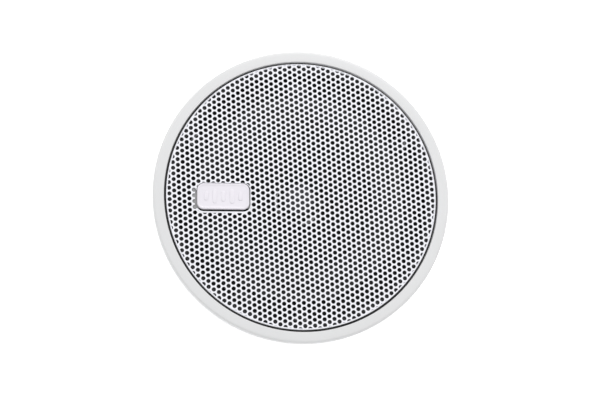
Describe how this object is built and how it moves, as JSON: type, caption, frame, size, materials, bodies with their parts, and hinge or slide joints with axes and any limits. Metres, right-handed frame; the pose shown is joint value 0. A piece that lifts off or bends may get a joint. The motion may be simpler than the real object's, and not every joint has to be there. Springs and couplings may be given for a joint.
{
  "type": "flush-mounting smart speaker",
  "caption": "Round white flush-mounting smart speaker: flat ring, perforated metal grille, raised badge, rear can with swing-out clamps.",
  "frame": {"origin": "centre of the flange's back face, which lies against the ceiling or wall board, on the barrel's axis", "axes": "+Z out of the grille, into the room; +Y towards the cable gland's side; the badge is on -X"},
  "size_m": [0.157, 0.157, 0.0702],
  "materials": {
    "white_plastic": "fine satin moulded",
    "white_enamel": "smooth powder coat",
    "badge_plastic": "satin",
    "grey_backing": "matt",
    "black_plastic": "fine texture",
    "can_plastic": "moulded grain",
    "gland_nylon": "satin nylon",
    "seal_rubber": "soft",
    "surround_rubber": "soft satin",
    "cone_paper": "pressed pulp",
    "spider_cloth": "resin-set cloth",
    "dome_silk": "coated silk",
    "former_film": "black film",
    "copper_winding": "enamelled wire",
    "ferrite": "dull ceramic",
    "zinc_steel": "zinc plated",
    "black_steel": "black finish",
    "nickel_magnet": "nickel plated",
    "brass": "turned",
    "clamp_nylon": "glass-filled nylon",
    "board_laminate": "black solder mask",
    "chip_epoxy": "moulded epoxy",
    "shield_tin": "tinned sheet",
    "heat_sink_alloy": "extruded",
    "transformer_core": "ferrite and tape",
    "capacitor_sleeve": "shrink sleeve",
    "connector_nylon": "natural nylon",
    "wire_jacket": "soft jacket",
    "terminal_plastic": "satin",
    "lever_plastic": "satin",
    "button_plastic": "satin"
  },
  "bodies": {
    "frame": {"frame": "white_plastic", "bezel": "white_plastic", "ledge_ring": "white_plastic", "baffle": "black_plastic", "tweeter_housing": "black_plastic", "rear_can": "can_plastic", "can_floor": "can_plastic", "gland_body": "gland_nylon", "gland_cap": "gland_nylon", "flange_gasket": "seal_rubber", "can_gasket": "seal_rubber", "gland_seals": "seal_rubber", "driver_gasket": "seal_rubber", "surround": "surround_rubber", "spider": "spider_cloth", "tinsel_leads": "copper_winding", "inductors": "copper_winding", "magnet": "ferrite", "tweeter_magnet": "ferrite", "top_plate": "zinc_steel", "yoke": "zinc_steel", "tweeter_post": "zinc_steel", "can_ring": "zinc_steel", "can_screws": "zinc_steel", "board_screws": "zinc_steel", "basket": "black_steel", "basket_screws": "black_steel", "baffle_screws": "black_steel", "grille_magnets": "nickel_magnet", "main_board": "board_laminate", "small_boards": "board_laminate", "amplifier_chip": "chip_epoxy", "button_switch": "chip_epoxy", "wireless_module": "shield_tin", "heat_sink": "heat_sink_alloy", "power_converter": "transformer_core", "capacitors": "capacitor_sleeve", "board_connectors": "connector_nylon", "speaker_leads": "wire_jacket", "supply_leads": "wire_jacket", "terminal_block": "terminal_plastic"},
    "grille": {"grille": "white_enamel", "badge": "badge_plastic", "badge_backing": "grey_backing"},
    "cone": {"cone": "cone_paper", "coil_former": "former_film", "voice_coil": "copper_winding"},
    "tweeter_dome": {"tweeter_dome": "dome_silk"},
    "pairing_button": {"pairing_button": "button_plastic"},
    "terminal_lever_1": {"terminal_lever_1": "lever_plastic"},
    "terminal_lever_2": {"terminal_lever_2": "lever_plastic"},
    "clamp_screw_1": {"clamp_screw_1": "black_steel"},
    "clamp_nut_1": {"clamp_nut_1": "brass"},
    "clamp_arm_1": {"clamp_arm_1": "clamp_nylon"},
    "clamp_screw_2": {"clamp_screw_2": "black_steel"},
    "clamp_nut_2": {"clamp_nut_2": "brass"},
    "clamp_arm_2": {"clamp_arm_2": "clamp_nylon"},
    "clamp_screw_3": {"clamp_screw_3": "black_steel"},
    "clamp_nut_3": {"clamp_nut_3": "brass"},
    "clamp_arm_3": {"clamp_arm_3": "clamp_nylon"}
  },
  "joints": [
    {"name": "grille_pull", "type": "slide", "parent": "frame", "child": "grille", "axis": [0, 0, 1], "range_m": [0, 0.03]},
    {"name": "cone_travel", "type": "slide", "parent": "frame", "child": "cone", "axis": [0, 0, 1], "range_m": [-0.0035, 0.0035], "stiffness_N_per_m": 1200, "deforming": ["surround", "spider", "tinsel_leads"]},
    {"name": "tweeter_travel", "type": "slide", "parent": "frame", "child": "tweeter_dome", "axis": [0, 0, 1], "range_m": [-0.0003, 0.0003], "stiffness_N_per_m": 400},
    {"name": "button_press", "type": "slide", "parent": "frame", "child": "pairing_button", "axis": [-1, 0, 0], "range_m": [0, 0.0012], "stiffness_N_per_m": 400},
    {"name": "terminal_lever_1_lift", "type": "hinge", "parent": "frame", "child": "terminal_lever_1", "pos_m": [0.0055, 0.0583, -0.0417], "axis": [1, 0, 0], "range_deg": [0, 60], "stiffness_Nm_per_rad": 0.01},
    {"name": "terminal_lever_2_lift", "type": "hinge", "parent": "frame", "child": "terminal_lever_2", "pos_m": [-0.0055, 0.0583, -0.0417], "axis": [1, 0, 0], "range_deg": [0, 60], "stiffness_Nm_per_rad": 0.01},
    {"name": "clamp_turn_1", "type": "hinge", "parent": "frame", "child": "clamp_screw_1", "pos_m": [0.05326, 0.03075, 0], "axis": [0, 0, -1], "range_deg": [0, 9360]},
    {"name": "clamp_climb_1", "type": "slide", "parent": "frame", "child": "clamp_nut_1", "axis": [0, 0, 1], "range_m": [0, 0.01821]},
    {"name": "clamp_swing_1", "type": "hinge", "parent": "clamp_nut_1", "child": "clamp_arm_1", "pos_m": [0.05326, 0.03075, 0], "axis": [0, 0, -1], "range_deg": [0, 90]},
    {"name": "clamp_turn_2", "type": "hinge", "parent": "frame", "child": "clamp_screw_2", "pos_m": [-0.05326, 0.03075, 0], "axis": [0, 0, -1], "range_deg": [0, 9360]},
    {"name": "clamp_climb_2", "type": "slide", "parent": "frame", "child": "clamp_nut_2", "axis": [0, 0, 1], "range_m": [0, 0.01821]},
    {"name": "clamp_swing_2", "type": "hinge", "parent": "clamp_nut_2", "child": "clamp_arm_2", "pos_m": [-0.05326, 0.03075, 0], "axis": [0, 0, -1], "range_deg": [0, 90]},
    {"name": "clamp_turn_3", "type": "hinge", "parent": "frame", "child": "clamp_screw_3", "pos_m": [0, -0.0615, 0], "axis": [0, 0, -1], "range_deg": [0, 9360]},
    {"name": "clamp_climb_3", "type": "slide", "parent": "frame", "child": "clamp_nut_3", "axis": [0, 0, 1], "range_m": [0, 0.01821]},
    {"name": "clamp_swing_3", "type": "hinge", "parent": "clamp_nut_3", "child": "clamp_arm_3", "pos_m": [0, -0.0615, 0], "axis": [0, 0, -1], "range_deg": [0, 90]}
  ],
  "couplings": [
    {"joint": "clamp_turn_1", "follows": "clamp_climb_1", "rad_per_m": 8976},
    {"joint": "clamp_turn_2", "follows": "clamp_climb_2", "rad_per_m": 8976},
    {"joint": "clamp_turn_3", "follows": "clamp_climb_3", "rad_per_m": 8976}
  ]
}
